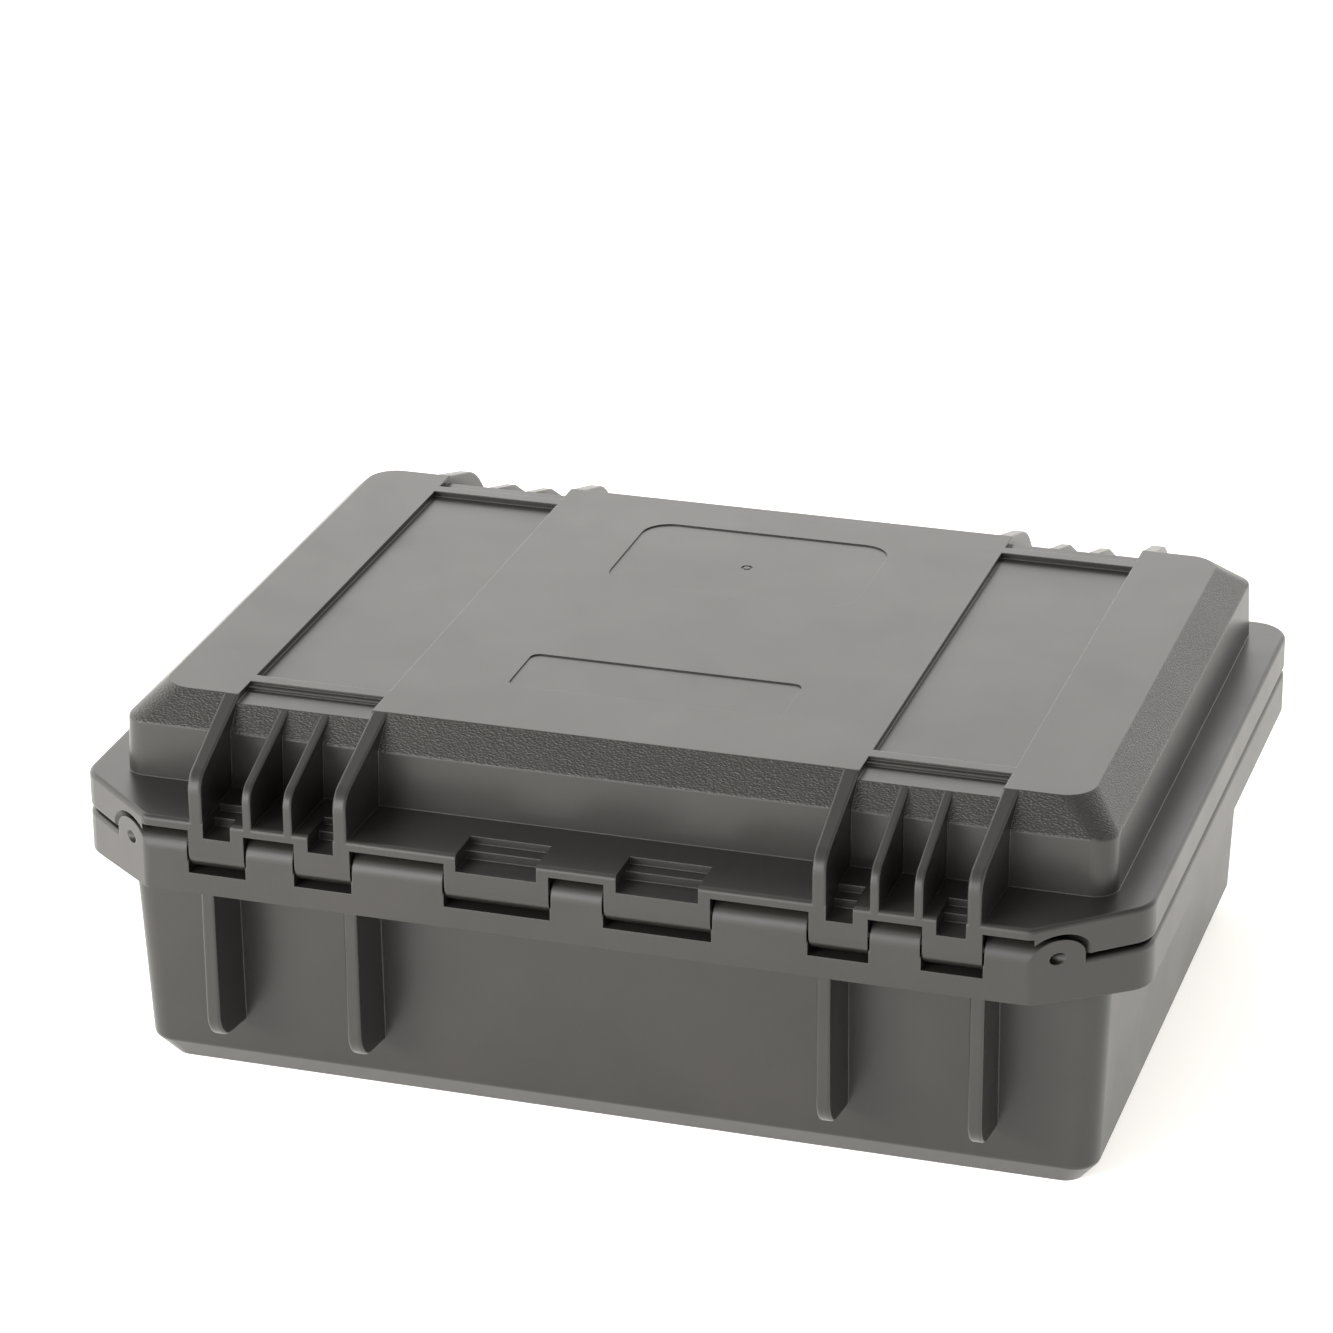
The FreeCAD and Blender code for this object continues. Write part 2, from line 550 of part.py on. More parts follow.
def handle_grip():
    """Soft grip moulded over the core bar."""
    skin = [(HANDLE_Y - 8.5, GRIP_Z + 8.5, 7.5), (HANDLE_Y - 8.5, GRIP_Z - 8.5, 7.5),
            (HANDLE_Y + 8.5, GRIP_Z - 8.5, 7.5), (HANDLE_Y + 8.5, GRIP_Z + 8.5, 7.5)]
    bar = [(HANDLE_Y - 5, GRIP_Z + 4.5, 2), (HANDLE_Y - 5, GRIP_Z - 4.5, 2),
           (HANDLE_Y + 5, GRIP_Z - 4.5, 2), (HANDLE_Y + 5, GRIP_Z + 4.5, 2)]
    body = side_prism(skin, -GRIP_HALF, GRIP_HALF)
    return body.cut(side_prism(bar, -GRIP_HALF - 1, GRIP_HALF + 1))


def handle_pin():
    pin = rod(HANDLE_PIN_R, EAR_GAPS[0][0] + 0.4, EAR_GAPS[1][1] - 0.4, HANDLE_Y, HANDLE_Z)
    return pin


# ---- purge valve ---------------------------------------------------------------------
def along_y(radius, y0, y1):
    return Part.makeCylinder(radius, y1 - y0, V(0, y0, VALVE_Z), V(0, 1, 0))


def valve_body():
    flange = along_y(11, VALVE_PAD_Y - 3.4, VALVE_PAD_Y - 0.8)
    stem = along_y(5.8, VALVE_PAD_Y - 2, -122.6)
    return flange.fuse(stem).removeSplitter().cut(along_y(3.05, -140, -128))


def valve_seal():
    return along_y(9.5, VALVE_PAD_Y - 0.8, VALVE_PAD_Y).cut(along_y(6.4, -140, -130))


def valve_nut():
    corners = [(10.2 * math.cos(math.radians(60 * i)), VALVE_Z + 10.2 * math.sin(math.radians(60 * i)))
               for i in range(6)]
    back = -BASE_WALL_TOP[1] + WALL + 1.2
    return front_prism(corners, back, back + 4.2).cut(along_y(5.85, -140, -110))


def valve_knob():
    """Thumb knob with grip scallops on a plain stem."""
    face, seat = VALVE_PAD_Y - 11, VALVE_PAD_Y - 3.7
    knob = along_y(9.6, face, seat)
    rim = [edge for edge in knob.Edges if abs(edge.BoundBox.YMin - face) < 0.01
           and abs(edge.BoundBox.YMax - face) < 0.01]
    knob = knob.makeFillet(1.0, rim)
    scallops = []
    for i in range(12):
        angle = math.radians(30 * i)
        centre = V(10.6 * math.cos(angle), face - 1, VALVE_Z + 10.6 * math.sin(angle))
        scallops.append(Part.makeCylinder(1.9, 6.5, centre, V(0, 1, 0)))
    slot = box(-7, 7, face - 1, face + 1.2, VALVE_Z - 0.9, VALVE_Z + 0.9)
    return knob.cut(scallops + [slot]).fuse(along_y(3.0, seat - 1, -130.0)).removeSplitter()


# ---- seal and hinge pins ------------------------------------------------------------------
def lid_seal():
    body = seal_ring(SEAL_WIDTH, SEAL_LOW, GROOVE_ROOF)
    return body.makeFillet(1.2, edges_at(body, SEAL_LOW))


def hinge_pin():
    return rod(PIN_R, HINGE_PIN_ENDS[0], HINGE_PIN_ENDS[1], AXIS_Y, AXIS_Z)


# ---- foam ------------------------------------------------------------------------------------
def base_inside(z0, z1):
    """The base's cavity between two heights, less the foam's clearance."""
    levels = [(BASE_FLOOR_EDGE[0], BASE_FLOOR_EDGE[1], BASE_FLOOR_EDGE[2], BASE_FLOOR_THICK),
              (BASE_WALL_FOOT[0], BASE_WALL_FOOT[1], BASE_WALL_FOOT[2], BASE_WALL_FOOT[3] + 3),
              (BASE_WALL_TOP[0], BASE_WALL_TOP[1], BASE_WALL_TOP[2], BASE_RIM + 4)]
    space = shell_loft(levels, WALL + FOAM_GAP)
    return space.common(box(-200, 200, -150, 150, z0, z1))


# name: x0, x1, y0, y1, floor height
FOAM_POCKETS = {
    "drone": (-172, 60, 8, 115, 34),
    "controller": (-172, -4, -115, -6, 46),
    "battery_1": (76, 172, 83, 115, 40),
    "battery_2": (76, 172, 41, 73, 40),
    "battery_3": (76, 172, -1, 31, 40),
    "charger": (10, 96, -115, -18, 40),
    "cables": (110, 172, -115, -18, 52),
}


# thumb-wide notches for lifting things out: x, y, floor height
FINGER_NOTCHES = ((-56, 8, 62), (-88, -6, 62), (124, 78, 62), (124, 36, 62), (53, -18, 62))
NOTCH_R = 13.0


def foam_base_tray():
    body = base_inside(PAD_TOP + 0.3, TRAY_TOP)
    cuts = []
    for x0, x1, y0, y1, floor in FOAM_POCKETS.values():
        points = [(x0, y0, 9), (x1, y0, 9), (x1, y1, 9), (x0, y1, 9)]
        cuts.append(plan_prism(points, floor, TRAY_TOP + 2))
    for x, y, floor in FINGER_NOTCHES:
        cuts.append(Part.makeCylinder(NOTCH_R, TRAY_TOP + 2 - floor, V(x, y, floor)))
    nut_space = box(-13, 13, -135, -120.4, VALVE_Z - 13, TRAY_TOP + 2)
    return body.cut(cuts + [nut_space])


def foam_lid_pad():
    levels = [LID_WALL_FOOT[:3] + (LID_RIM - 2,),
              LID_BEVEL_LOW[:3] + (139.0,),
              (LID_PLATEAU[0] - 1.6, LID_PLATEAU[1] - 1.6, 13.0, LID_CEILING)]
    space = shell_loft(levels, WALL + FOAM_GAP)
    return space.common(box(-200, 200, -150, 150, LID_FOAM_LOW, LID_CEILING - FOAM_GAP))


def main():
    os.makedirs("parts", exist_ok=True)
    save("base_shell", base_shell())
    save("lid_shell", lid_shell())
    save("lid_seal", lid_seal())
    right_pin, right_latch, right_latch_pin = hinge_pin(), latch(), latch_pin()
    save("hinge_pin_right", right_pin)
    save("hinge_pin_left", mirror_x(right_pin))
    save("latch_right", right_latch)
    save("latch_left", mirror_x(right_latch))
    save("latch_pin_right", right_latch_pin)
    save("latch_pin_left", mirror_x(right_latch_pin))
    lid_guard = padlock_guard(LID_RIM, LUG_TOP)
    base_guard = padlock_guard(BASE_RIM, LUG_LOW)
    save("padlock_guard_lid_right", lid_guard)
    save("padlock_guard_lid_left", mirror_x(lid_guard))
    save("padlock_guard_base_right", base_guard)
    save("padlock_guard_base_left", mirror_x(base_guard))
    save("handle_frame", handle_frame())
    save("handle_grip", handle_grip())
    save("handle_pin_right", handle_pin())
    save("handle_pin_left", mirror_x(handle_pin()))
    save("valve_body", valve_body())
    save("valve_knob", valve_knob())
    save("valve_seal", valve_seal())
    save("valve_nut", valve_nut())
    save("foam_base_pad", base_inside(BASE_FLOOR_THICK + 0.3, PAD_TOP))
    save("foam_base_tray", foam_base_tray())
    save("foam_lid_pad", foam_lid_pad())


main()
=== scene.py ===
import math

import bmesh
import bpy
from mathutils import Matrix, Vector, noise


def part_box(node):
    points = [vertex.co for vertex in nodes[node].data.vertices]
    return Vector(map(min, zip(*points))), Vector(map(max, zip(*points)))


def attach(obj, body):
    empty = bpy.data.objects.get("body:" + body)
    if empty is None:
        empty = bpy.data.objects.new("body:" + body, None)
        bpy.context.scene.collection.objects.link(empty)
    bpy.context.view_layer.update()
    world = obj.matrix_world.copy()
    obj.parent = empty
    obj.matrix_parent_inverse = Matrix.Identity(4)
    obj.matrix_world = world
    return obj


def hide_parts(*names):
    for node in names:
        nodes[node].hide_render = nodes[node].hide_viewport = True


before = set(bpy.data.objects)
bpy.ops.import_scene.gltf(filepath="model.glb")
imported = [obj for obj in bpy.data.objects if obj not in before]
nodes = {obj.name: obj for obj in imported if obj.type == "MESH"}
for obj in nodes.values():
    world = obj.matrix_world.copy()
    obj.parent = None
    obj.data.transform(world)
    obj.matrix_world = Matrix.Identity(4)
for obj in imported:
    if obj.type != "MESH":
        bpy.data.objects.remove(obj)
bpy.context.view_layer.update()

# ---- measures, in metres -------------------------------------------------------------
# lid: half size of the plateau, fall of the border round it, where its corners start
PLATEAU_X, PLATEAU_Y = 0.180, 0.1185
BORDER_SLOPE = 0.9735
BORDER_FOOT = 0.1438
BORDER_REACH = 0.0005
CORNER_X, CORNER_Y = 0.156, 0.099
BORDER_TILT = (0.3, 0.93)           # range of the normal's Z on the border

# edges: the shells' moulding radius, and a crisper one on the plateau's shallow panels
MOULD_RADIUS, PANEL_RADIUS = 0.0006, 0.0002
PANELS_X, PANELS_Y = 0.088, 0.108
PANEL_DEPTH = 0.0012

# foam: voxel sizes, uneven cut faces, and the egg-crate pattern of the lid's pad
PAD_VOXEL, TRAY_VOXEL, LINER_VOXEL = 0.0045, 0.0026, 0.0034
CUT_WAVE, CUT_WAVE_ACROSS = 0.0007, 0.0005
CUT_RATE, CUT_RATE_ACROSS = 28.0, 31.0      # noise cells per metre
TRAY_FACE = 0.004
TRAY_SINK = 0.0004
PEAK_PITCH, PEAK_DEPTH = 0.034, 0.0155
PEAK_BAND = 0.0045
PEAK_MARGIN, PEAK_FADE = 0.006, 0.014
PEAK_ROUGH, PEAK_RATE, PEAK_LIFT = 0.0006, 40.0, 0.0006

# handle grip: rings along it and points round it, its section, grooves and finger waves
GRIP_RINGS, GRIP_AROUND = 161, 48
GRIP_POWER = 3.2
GRIP_WAIST = 0.05
GRIP_END, GRIP_END_ROUND = 0.0022, 0.16
GROOVE_START, GROOVE_PITCH, GROOVE_DEPTH, GROOVE_SHARP = 0.008, 0.0062, 0.075, 6
FINGER_PITCH, FINGER_DEPTH, FINGER_SIDE = 0.023, 0.02, -0.3

# studio: the camera's yaw, pitch and roll in degrees, its lens in mm, floor and lights
CAMERA_TURN = (17.418, 23.452, -0.393)
CAMERA_PLACE = (-0.50396, 1.65766, 0.88683)
CAMERA_LENS, CAMERA_SENSOR = 130.37, 36.0
FLOOR_HALF = 8.0
SKY_BY_HEIGHT = (0.42, 0.82, 2.45, 0.8)     # from, to, strength low down, strength overhead
SKY_BY_SIDE = (-0.6, 0.1, 0.52, 1.0)        # from, to, share on the -X side, share elsewhere
LIGHT_PLACE, LIGHT_AIM = (1.45, 2.15, 0.85), (0, 0.1, 0.08)
KEY_SIZE, KEY_POWER = (1.0, 0.5), 100
PANEL_SIZE, PANEL_POWER = (2.2, 1.3), 34


# ---- node material helpers -------------------------------------------------------
class Graph:
    """A material's node tree with short calls for the nodes used here."""

    def __init__(self, name):
        self.material = bpy.data.materials.new(name)
        self.material.use_nodes = True
        self.tree = self.material.node_tree
        self.shader = self.tree.nodes["Principled BSDF"]
        self.coords = self.add("ShaderNodeTexCoord").outputs["Object"]

    def add(self, kind, **settings):
        node = self.tree.nodes.new(kind)
        for key, value in settings.items():
            setattr(node, key, value)
        return node

    def link(self, source, target):
        self.tree.links.new(source, target)

    def feed(self, socket, value):
        if isinstance(value, bpy.types.NodeSocket):
            self.link(value, socket)
        else:
            socket.default_value = value

    def math(self, operation, a, b=None, c=None, clamp=False):
        node = self.add("ShaderNodeMath", operation=operation, use_clamp=clamp)
        for socket, value in zip(node.inputs, (a, b, c)):
            if value is not None:
                self.feed(socket, value)
        return node.outputs[0]

    def noise(self, size, detail=3.0, rough=0.5, coords=None, distortion=0.0):
        """Noise whose features are about `size` metres across."""
        node = self.add("ShaderNodeTexNoise")
        self.link(coords or self.coords, node.inputs["Vector"])
        node.inputs["Scale"].default_value = 1.0 / size
        node.inputs["Detail"].default_value = detail
        node.inputs["Roughness"].default_value = rough
        node.inputs["Distortion"].default_value = distortion
        return node.outputs["Fac"]

    def cells(self, size, coords=None, feature="F1", smooth=None):
        node = self.add("ShaderNodeTexVoronoi", feature=feature)
        self.link(coords or self.coords, node.inputs["Vector"])
        node.inputs["Scale"].default_value = 1.0 / size
        if smooth is not None:
            node.inputs["Smoothness"].default_value = smooth
        return node.outputs["Distance"]

    def stretch(self, scale):
        node = self.add("ShaderNodeMapping")
        self.link(self.coords, node.inputs["Vector"])
        node.inputs["Scale"].default_value = scale
        return node.outputs["Vector"]

    def remap(self, value, low, high, to_low, to_high):
        node = self.add("ShaderNodeMapRange", clamp=True)
        for socket, number in zip(node.inputs, (value, low, high, to_low, to_high)):
            self.feed(socket, number)
        return node.outputs["Result"]

    def folded(self):
        """Distances |x| and |y| from the case's middle planes, and the height z."""
        position = self.add("ShaderNodeSeparateXYZ")
        self.link(self.coords, position.inputs[0])
        x = self.math("ABSOLUTE", position.outputs["X"])
        y = self.math("ABSOLUTE", position.outputs["Y"])
        return x, y, position.outputs["Z"]

    def clouded(self, cloud, dark, light):
        """Two close tones that drift into each other with the cloud noise."""
        return self.mix_color(self.remap(cloud, 0.35, 0.65, 0.0, 1.0), dark, light)

    def mix_color(self, factor, a, b):
        node = self.add("ShaderNodeMix", data_type="RGBA")
        self.feed(node.inputs["Factor"], factor)
        for socket, value in ((node.inputs["A"], a), (node.inputs["B"], b)):
            self.feed(socket, value if isinstance(value, bpy.types.NodeSocket) else (*value, 1.0))
        return node.outputs["Result"]

    def bump(self, height, distance, strength=1.0, normal=None):
        node = self.add("ShaderNodeBump")
        self.feed(node.inputs["Strength"], strength)
        node.inputs["Distance"].default_value = distance
        self.feed(node.inputs["Height"], height)
        if normal is not None:
            self.link(normal, node.inputs["Normal"])
        return node.outputs["Normal"]

    def rounded(self, radius):
        """Normal that softens the edges of moulded plastic, and how close an edge is."""
        bevel = self.add("ShaderNodeBevel", samples=6)
        self.feed(bevel.inputs["Radius"], radius)
        geometry = self.add("ShaderNodeNewGeometry")
        dot = self.add("ShaderNodeVectorMath", operation="DOT_PRODUCT")
        self.link(bevel.outputs["Normal"], dot.inputs[0])
        self.link(geometry.outputs["Normal"], dot.inputs[1])
        edge = self.remap(dot.outputs["Value"], 0.995, 0.80, 0.0, 1.0)
        return bevel.outputs["Normal"], edge


def linear(r, g, b):
    """Linear colour from 0-255 display values."""
    return tuple((v / 255 / 12.92) if v <= 10 else ((v / 255 + 0.055) / 1.055) ** 2.4
                 for v in (r, g, b))


def border_mask(g):
    """1 on the lid's sloping border between its plateau and its upright walls."""
    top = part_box("lid_shell")[1][2]
    x, y, z = g.folded()
    plane_x = g.math("MULTIPLY_ADD", g.math("SUBTRACT", x, PLATEAU_X), -BORDER_SLOPE, top)
    plane_y = g.math("MULTIPLY_ADD", g.math("SUBTRACT", y, PLATEAU_Y), -BORDER_SLOPE, top)
    plane = g.math("MINIMUM", plane_x, plane_y)
    off = g.math("ABSOLUTE", g.math("SUBTRACT", z, plane))
    near_plane = g.math("LESS_THAN", off, BORDER_REACH)
    corner = g.math("GREATER_THAN", g.math("MINIMUM", g.math("SUBTRACT", x, CORNER_X),
                                           g.math("SUBTRACT", y, CORNER_Y)), 0.0)
    on_border = g.math("MAXIMUM", near_plane, corner)
    geometry = g.add("ShaderNodeNewGeometry")
    normal = g.add("ShaderNodeSeparateXYZ")
    g.link(geometry.outputs["True Normal"], normal.inputs[0])
    tilt = g.math("MULTIPLY", g.math("GREATER_THAN", normal.outputs["Z"], BORDER_TILT[0]),
                  g.math("LESS_THAN", normal.outputs["Z"], BORDER_TILT[1]))
    high = g.math("GREATER_THAN", z, BORDER_FOOT)
    return g.math("MULTIPLY", on_border, g.math("MULTIPLY", tilt, high))


def edge_radius(g):
    """The shells' edge radius, smaller where the plateau's shallow panels are."""
    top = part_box("lid_shell")[1][2]
    x, y, z = g.folded()
    inside = g.math("MULTIPLY", g.math("LESS_THAN", x, PANELS_X), g.math("LESS_THAN", y, PANELS_Y))
    on_plateau = g.math("GREATER_THAN", z, top - PANEL_DEPTH)
    return g.math("MULTIPLY_ADD", g.math("MULTIPLY", inside, on_plateau),
                  PANEL_RADIUS - MOULD_RADIUS, MOULD_RADIUS)


def shell_material():
    """Moulded polypropylene: satin, finely grained, leather-grained on the lid's border, its edges
    lightened partly by wear and partly as a painted highlight.
    """
    g = Graph("case_polypropylene")
    normal, edge = g.rounded(edge_radius(g))
    mask = border_mask(g)
    cloud = g.noise(0.055, 4.0, 0.6)
    speck = g.noise(0.0011, 2.0, 0.6)
    tone = g.clouded(cloud, linear(25, 24, 22), linear(30, 28, 26))
    tone = g.mix_color(g.remap(speck, 0.62, 0.8, 0.0, 0.3), tone, linear(46, 44, 41))
    # edges lightened towards a paler tone: partly wear, partly a painted highlight along the
    # rounded edges
    wear_and_highlight = g.math("MULTIPLY", edge, g.remap(g.noise(0.014, 5.0, 0.7), 0.42, 0.66, 0.12, 0.5))
    tone = g.mix_color(wear_and_highlight, tone, linear(66, 63, 58))
    g.link(tone, g.shader.inputs["Base Color"])
    handled = g.remap(g.noise(0.045, 5.0, 0.6, distortion=0.4), 0.3, 0.7, 0.30, 0.35)
    rough = g.math("SUBTRACT", handled, g.math("MULTIPLY", edge, 0.12))
    g.link(g.math("MULTIPLY_ADD", mask, -0.03, rough), g.shader.inputs["Roughness"])
    g.shader.inputs["IOR"].default_value = 1.55
    fine = g.math("ADD", g.noise(0.00055, 2.0, 0.5), g.math("MULTIPLY", g.noise(0.004, 2.0), 0.25))
    grained = g.bump(fine, 0.00005, 0.5, normal)
    along = g.stretch((0.6, 1.0, 1.0))
    cells = g.cells(0.0007, coords=along, smooth=0.3, feature="SMOOTH_F1")
    grain = g.math("ADD", cells, g.math("MULTIPLY", g.noise(0.0005, 3.0, 0.6, coords=along), 0.9))
    leather = g.bump(grain, 0.00026, g.math("MULTIPLY", mask, 0.85), grained)
    g.link(leather, g.shader.inputs["Normal"])
    return g.material


def glossy_plastic_material():
    """Glass-filled nylon of the latches, handle and valve: darker and smoother."""
    g = Graph("latch_nylon")
    normal, edge = g.rounded(0.0009)
    cloud = g.noise(0.03, 4.0, 0.6)
    tone = g.clouded(cloud, linear(36, 36, 36), linear(43, 42, 41))
    wear_and_highlight = g.math("MULTIPLY", edge, g.remap(g.noise(0.008, 5.0, 0.7), 0.45, 0.66, 0.05, 0.6))
    g.link(g.mix_color(wear_and_highlight, tone, linear(80, 79, 77)), g.shader.inputs["Base Color"])
    streak = g.noise(0.012, 4.0, 0.6, coords=g.stretch((1.0, 1.0, 0.25)))
    g.link(g.remap(streak, 0.3, 0.7, 0.27, 0.38), g.shader.inputs["Roughness"])
    g.shader.inputs["IOR"].default_value = 1.53
    g.link(g.bump(g.noise(0.0006, 2.0), 0.00004, 0.5, normal), g.shader.inputs["Normal"])
    return g.material


def rubber_material(name, base, light, rough):
    """Matt rubber with a little pale dust in its surface."""
    g = Graph(name)
    cloud = g.noise(0.02, 4.0, 0.6)
    dust = g.noise(0.0016, 4.0, 0.7)
    tone = g.clouded(cloud, base, light)
    tone = g.mix_color(g.remap(dust, 0.6, 0.8, 0.0, 0.3), tone, linear(92, 90, 87))
    g.link(tone, g.shader.inputs["Base Color"])
    g.link(g.remap(cloud, 0.3, 0.7, rough, rough + 0.12), g.shader.inputs["Roughness"])
    g.shader.inputs["Sheen Weight"].default_value = 0.12
    g.shader.inputs["Sheen Roughness"].default_value = 0.5
    g.link(g.bump(g.noise(0.0009, 3.0, 0.6), 0.00008, 0.6), g.shader.inputs["Normal"])
    return g.material


def steel_material():
    """Ground stainless rod: fine marks round its length, brighter than plated steel."""
    g = Graph("stainless_steel")
    normal, _ = g.rounded(0.0004)
    marks = g.noise(0.0007, 3.0, 0.6, coords=g.stretch((3.0, 1.0, 1.0)))
    cloud = g.noise(0.009, 4.0, 0.6)
    tone = g.clouded(cloud, (0.48, 0.47, 0.46), (0.62, 0.61, 0.60))
    g.link(tone, g.shader.inputs["Base Color"])
    g.shader.inputs["Metallic"].default_value = 1.0
    g.link(g.remap(marks, 0.3, 0.7, 0.22, 0.4), g.shader.inputs["Roughness"])
    g.link(g.bump(marks, 0.00003, 0.5, normal), g.shader.inputs["Normal"])
    return g.material


def foam_material():
    """Open-cell polyurethane foam: matt, full of small pores with painted shade in them, a little
    dusty.
    """
    g = Graph("open_cell_foam")
    pores = g.cells(0.0014, smooth=0.5, feature="SMOOTH_F1")
    small = g.noise(0.0008, 3.0, 0.7)
    cloud = g.noise(0.04, 4.0, 0.6)
    tone = g.clouded(cloud, linear(44, 44, 46), linear(56, 56, 58))
    # pore centres darkened towards a near-black tone: painted shade in the pores
    tone = g.mix_color(g.remap(pores, 0.15, 0.6, 0.0, 0.75), linear(24, 24, 25), tone)
    g.link(tone, g.shader.inputs["Base Color"])
    g.shader.inputs["Roughness"].default_value = 0.95
    g.shader.inputs["Specular IOR Level"].default_value = 0.2
    g.shader.inputs["Sheen Weight"].default_value = 0.25
    g.shader.inputs["Sheen Roughness"].default_value = 0.6
    height = g.math("ADD", pores, g.math("MULTIPLY", small, 0.6))
    g.link(g.bump(height, 0.0006, 0.8), g.shader.inputs["Normal"])
    return g.material


def floor_material():
    """Pale matt floor, lifted to white as in a studio shot."""
    g = Graph("studio_floor")
    cloud = g.noise(0.6, 2.0, 0.5)
    tone = g.mix_color(g.remap(cloud, 0.3, 0.7, 0.0, 1.0), (0.87, 0.86, 0.84), (0.90, 0.89, 0.87))
    g.link(tone, g.shader.inputs["Base Color"])
    g.shader.inputs["Roughness"].default_value = 0.9
    g.shader.inputs["Specular IOR Level"].default_value = 0.0
    g.shader.inputs["Emission Color"].default_value = (1.0, 0.965, 0.925, 1.0)
    g.shader.inputs["Emission Strength"].default_value = 0.55
    return g.material


SHELL = shell_material()
NYLON = glossy_plastic_material()
SEAL = rubber_material("seal_rubber", linear(26, 26, 26), linear(34, 34, 34), 0.5)
GRIP = rubber_material("grip_rubber", linear(38, 38, 38), linear(46, 45, 45), 0.62)
STEEL = steel_material()
FOAM = foam_material()

FINISH = {
    "base_shell": SHELL, "lid_shell": SHELL,
    "latch_left": NYLON, "latch_right": NYLON, "handle_frame": NYLON,
    "valve_body": NYLON, "valve_knob": NYLON, "valve_nut": NYLON,
    "lid_seal": SEAL, "valve_seal": SEAL,
}


def finish_cad_nodes():
    """Give every CAD node its material; nodes not listed in FINISH are steel."""
    for name, obj in nodes.items():
        material = FINISH.get(name, STEEL)
        if not obj.material_slots:
            obj.data.materials.append(material)
        for slot in obj.material_slots:
            slot.material = material


# ---- mesh pieces -----------------------------------------------------------------------
def piece(name, mesh, material, body):
    """New smooth-shaded object that rides on a body and takes the given material."""
    obj = bpy.data.objects.new(name, mesh)
    bpy.context.scene.collection.objects.link(obj)
    obj.data.materials.clear()
    obj.data.materials.append(material)
    for polygon in obj.data.polygons:
        polygon.use_smooth = True
    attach(obj, body)
    return obj


def apply_modifiers(obj):
    graph = bpy.context.evaluated_depsgraph_get()
    mesh = bpy.data.meshes.new_from_object(obj.evaluated_get(graph))
    old = obj.data
    obj.modifiers.clear()
    obj.data = mesh
    bpy.data.meshes.remove(old)
    for polygon in obj.data.polygons:
        polygon.use_smooth = True


def soft_copy(name, node, body, voxel, smooth):
    """Foam piece in a CAD solid's place, with the soft edges that cut foam has."""
    obj = piece(name, nodes[node].data.copy(), FOAM, body)
    remesh = obj.modifiers.new("remesh", "REMESH")
    remesh.mode = "VOXEL"
    remesh.voxel_size = voxel
    relax = obj.modifiers.new("relax", "SMOOTH")
    relax.factor = 0.5
    relax.iterations = smooth
    apply_modifiers(obj)
    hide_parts(node)
    return obj


def add_base_foam():
    """Bottom pad and cut-out tray, whose knife-cut faces are slightly uneven."""
    soft_copy("foam_bottom_pad", "foam_base_pad", "base", PAD_VOXEL, 2)
    tray = soft_copy("foam_cut_tray", "foam_base_tray", "base", TRAY_VOXEL, 3)
    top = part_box("foam_base_tray")[1][2]
    for vertex in tray.data.vertices:
        co = vertex.co
        wave = noise.noise(co * CUT_RATE) * CUT_WAVE
        if co.z > top - TRAY_FACE:
            co.z += wave - TRAY_SINK
        else:
            co.x += wave * 0.6
            across = noise.noise(co * CUT_RATE_ACROSS + Vector((4.0, 1.0, 2.0)))
            co.y += across * CUT_WAVE_ACROSS


def add_lid_foam():
    """Convoluted foam: rows of soft peaks that press on what lies in the tray."""
    pad = soft_copy("foam_convoluted_liner", "foam_lid_pad", "lid", LINER_VOXEL, 3)
    low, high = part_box("foam_lid_pad")
    for vertex in pad.data.vertices:
        co = vertex.co
        if co.z > low[2] + PEAK_BAND:
            continue
        edge = min(co.x - low[0], high[0] - co.x, co.y - low[1], high[1] - co.y)
        fade = min(max((edge - PEAK_MARGIN) / PEAK_FADE, 0.0), 1.0)
        wave_x = math.cos(2 * math.pi * co.x / PEAK_PITCH)
        wave_y = math.cos(2 * math.pi * co.y / PEAK_PITCH)
        valley = 0.5 - 0.5 * wave_x * wave_y
        rough = noise.noise(co * PEAK_RATE) * PEAK_ROUGH
        co.z += PEAK_DEPTH * valley * fade + rough + PEAK_LIFT


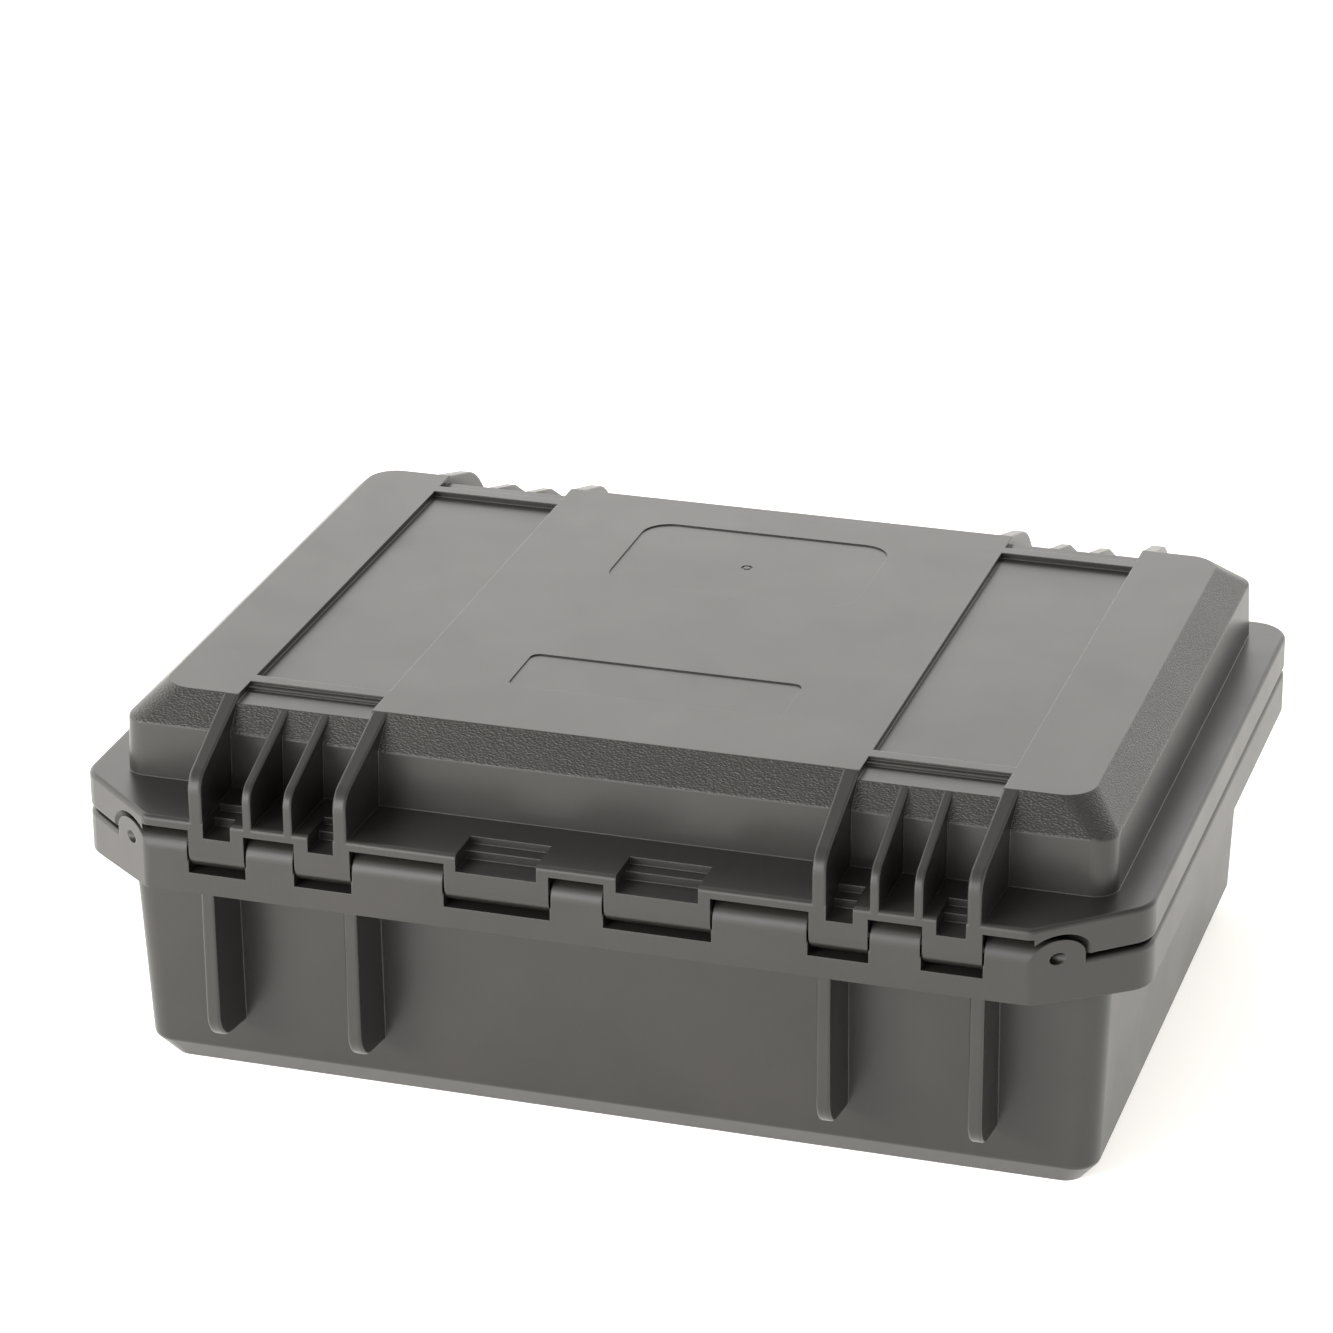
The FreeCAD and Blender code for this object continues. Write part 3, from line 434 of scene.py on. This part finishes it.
def add_handle_grip():
    """Ribbed soft grip, moulded round the handle's core bar."""
    low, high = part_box("handle_grip")
    centre = [(a + b) / 2 for a, b in zip(low, high)]
    half_y, half_z = (high[1] - low[1]) / 2, (high[2] - low[2]) / 2
    mesh = bmesh.new()
    loops = []
    for i in range(GRIP_RINGS):
        along = i / (GRIP_RINGS - 1)
        x = low[0] + (high[0] - low[0]) * along
        from_end = min(x - low[0], high[0] - x)
        body = 1.0 - GRIP_WAIST * math.cos(math.pi * (along - 0.5)) ** 2
        end = 1.0 - GRIP_END_ROUND * max(0.0, 1 - from_end / GRIP_END) ** 2
        groove = 0.0
        if from_end > GROOVE_START:
            ridge = max(0.0, math.cos(2 * math.pi * (x - centre[0]) / GROOVE_PITCH))
            groove = ridge ** GROOVE_SHARP * GROOVE_DEPTH
        loop = []
        for j in range(GRIP_AROUND):
            angle = 2 * math.pi * j / GRIP_AROUND
            c, s = math.cos(angle), math.sin(angle)
            power = (abs(c) ** GRIP_POWER + abs(s) ** GRIP_POWER) ** (-1 / GRIP_POWER)
            scale = power * body * end * (1 - groove)
            finger = 0.0
            if s < FINGER_SIDE:
                finger = FINGER_DEPTH * math.cos(2 * math.pi * (x - centre[0]) / FINGER_PITCH)
            y = centre[1] + c * half_y * scale
            z = centre[2] + s * half_z * (scale - max(finger, 0.0))
            loop.append(mesh.verts.new((x, y, z)))
        loops.append(loop)
    for a, b in zip(loops, loops[1:]):
        for j in range(GRIP_AROUND):
            k = (j + 1) % GRIP_AROUND
            mesh.faces.new((a[j], a[k], b[k], b[j]))
    for loop, flip in ((loops[0], True), (loops[-1], False)):
        mesh.faces.new(list(reversed(loop)) if flip else loop)
    bmesh.ops.recalc_face_normals(mesh, faces=mesh.faces)
    data = bpy.data.meshes.new("ribbed_grip")
    mesh.to_mesh(data)
    mesh.free()
    grip = piece("ribbed_grip", data, GRIP, "handle")
    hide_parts("handle_grip")


# ---- studio ----------------------------------------------------------------------------
def add_camera():
    """Camera above and behind the case, facing the hinge side from a little to -X."""
    yaw, pitch, roll = (math.radians(v) for v in CAMERA_TURN)
    forward = Vector((math.sin(yaw) * math.cos(pitch), -math.cos(yaw) * math.cos(pitch),
                      -math.sin(pitch)))
    level = Vector((-math.cos(yaw), -math.sin(yaw), 0.0))
    upright = level.cross(forward)
    right = math.cos(roll) * level + math.sin(roll) * upright
    up = right.cross(forward)
    data = bpy.data.cameras.new("camera")
    data.lens = CAMERA_LENS
    data.sensor_width = CAMERA_SENSOR
    data.clip_end = 50.0
    camera = bpy.data.objects.new("camera", data)
    bpy.context.scene.collection.objects.link(camera)
    rotation = Matrix((right, up, -forward)).transposed().to_4x4()
    camera.matrix_world = Matrix.Translation(CAMERA_PLACE) @ rotation
    bpy.context.scene.camera = camera


def add_light(name, size, power, glossy=True):
    """Area light at the key's place; one that isn't glossy leaves no reflection."""
    data = bpy.data.lights.new(name, "AREA")
    data.shape = "RECTANGLE"
    data.size, data.size_y = size
    data.energy = power
    obj = bpy.data.objects.new(name, data)
    bpy.context.scene.collection.objects.link(obj)
    obj.location = LIGHT_PLACE
    direction = Vector(LIGHT_AIM) - Vector(LIGHT_PLACE)
    obj.rotation_mode = "QUATERNION"
    obj.rotation_quaternion = direction.to_track_quat("-Z", "Y")
    obj.visible_glossy = glossy


def add_sky():
    """White studio walls, bright low down, dimmer overhead and on the -X side."""
    world = bpy.data.worlds.new("studio")
    world.use_nodes = True
    tree = world.node_tree
    background = tree.nodes["Background"]
    direction = tree.nodes.new("ShaderNodeTexCoord").outputs["Generated"]
    split = tree.nodes.new("ShaderNodeSeparateXYZ")
    fall = tree.nodes.new("ShaderNodeMapRange")
    fall.interpolation_type = "SMOOTHSTEP"
    for socket, value in zip(list(fall.inputs)[1:5], SKY_BY_HEIGHT):
        socket.default_value = value
    side = tree.nodes.new("ShaderNodeMapRange")
    for socket, value in zip(list(side.inputs)[1:5], SKY_BY_SIDE):
        socket.default_value = value
    product = tree.nodes.new("ShaderNodeMath")
    product.operation = "MULTIPLY"
    tree.links.new(direction, split.inputs[0])
    tree.links.new(split.outputs["Z"], fall.inputs["Value"])
    tree.links.new(split.outputs["X"], side.inputs["Value"])
    tree.links.new(fall.outputs["Result"], product.inputs[0])
    tree.links.new(side.outputs["Result"], product.inputs[1])
    tree.links.new(product.outputs[0], background.inputs["Strength"])
    background.inputs["Color"].default_value = (1.0, 0.98, 0.95, 1.0)
    bpy.context.scene.world = world


def add_studio():
    """Floor, sky and the two area lights."""
    mesh = bpy.data.meshes.new("floor")
    corners = [(-FLOOR_HALF, -FLOOR_HALF, 0), (FLOOR_HALF, -FLOOR_HALF, 0),
               (FLOOR_HALF, FLOOR_HALF, 0), (-FLOOR_HALF, FLOOR_HALF, 0)]
    mesh.from_pydata(corners, [], [(0, 1, 2, 3)])
    floor = bpy.data.objects.new("floor", mesh)
    floor.data.materials.append(floor_material())
    bpy.context.scene.collection.objects.link(floor)
    add_sky()
    add_light("key", KEY_SIZE, KEY_POWER, glossy=False)
    add_light("panel", PANEL_SIZE, PANEL_POWER)
    bpy.context.scene.view_settings.view_transform = "Standard"


finish_cad_nodes()
add_base_foam()
add_lid_foam()
add_handle_grip()
add_camera()
add_studio()
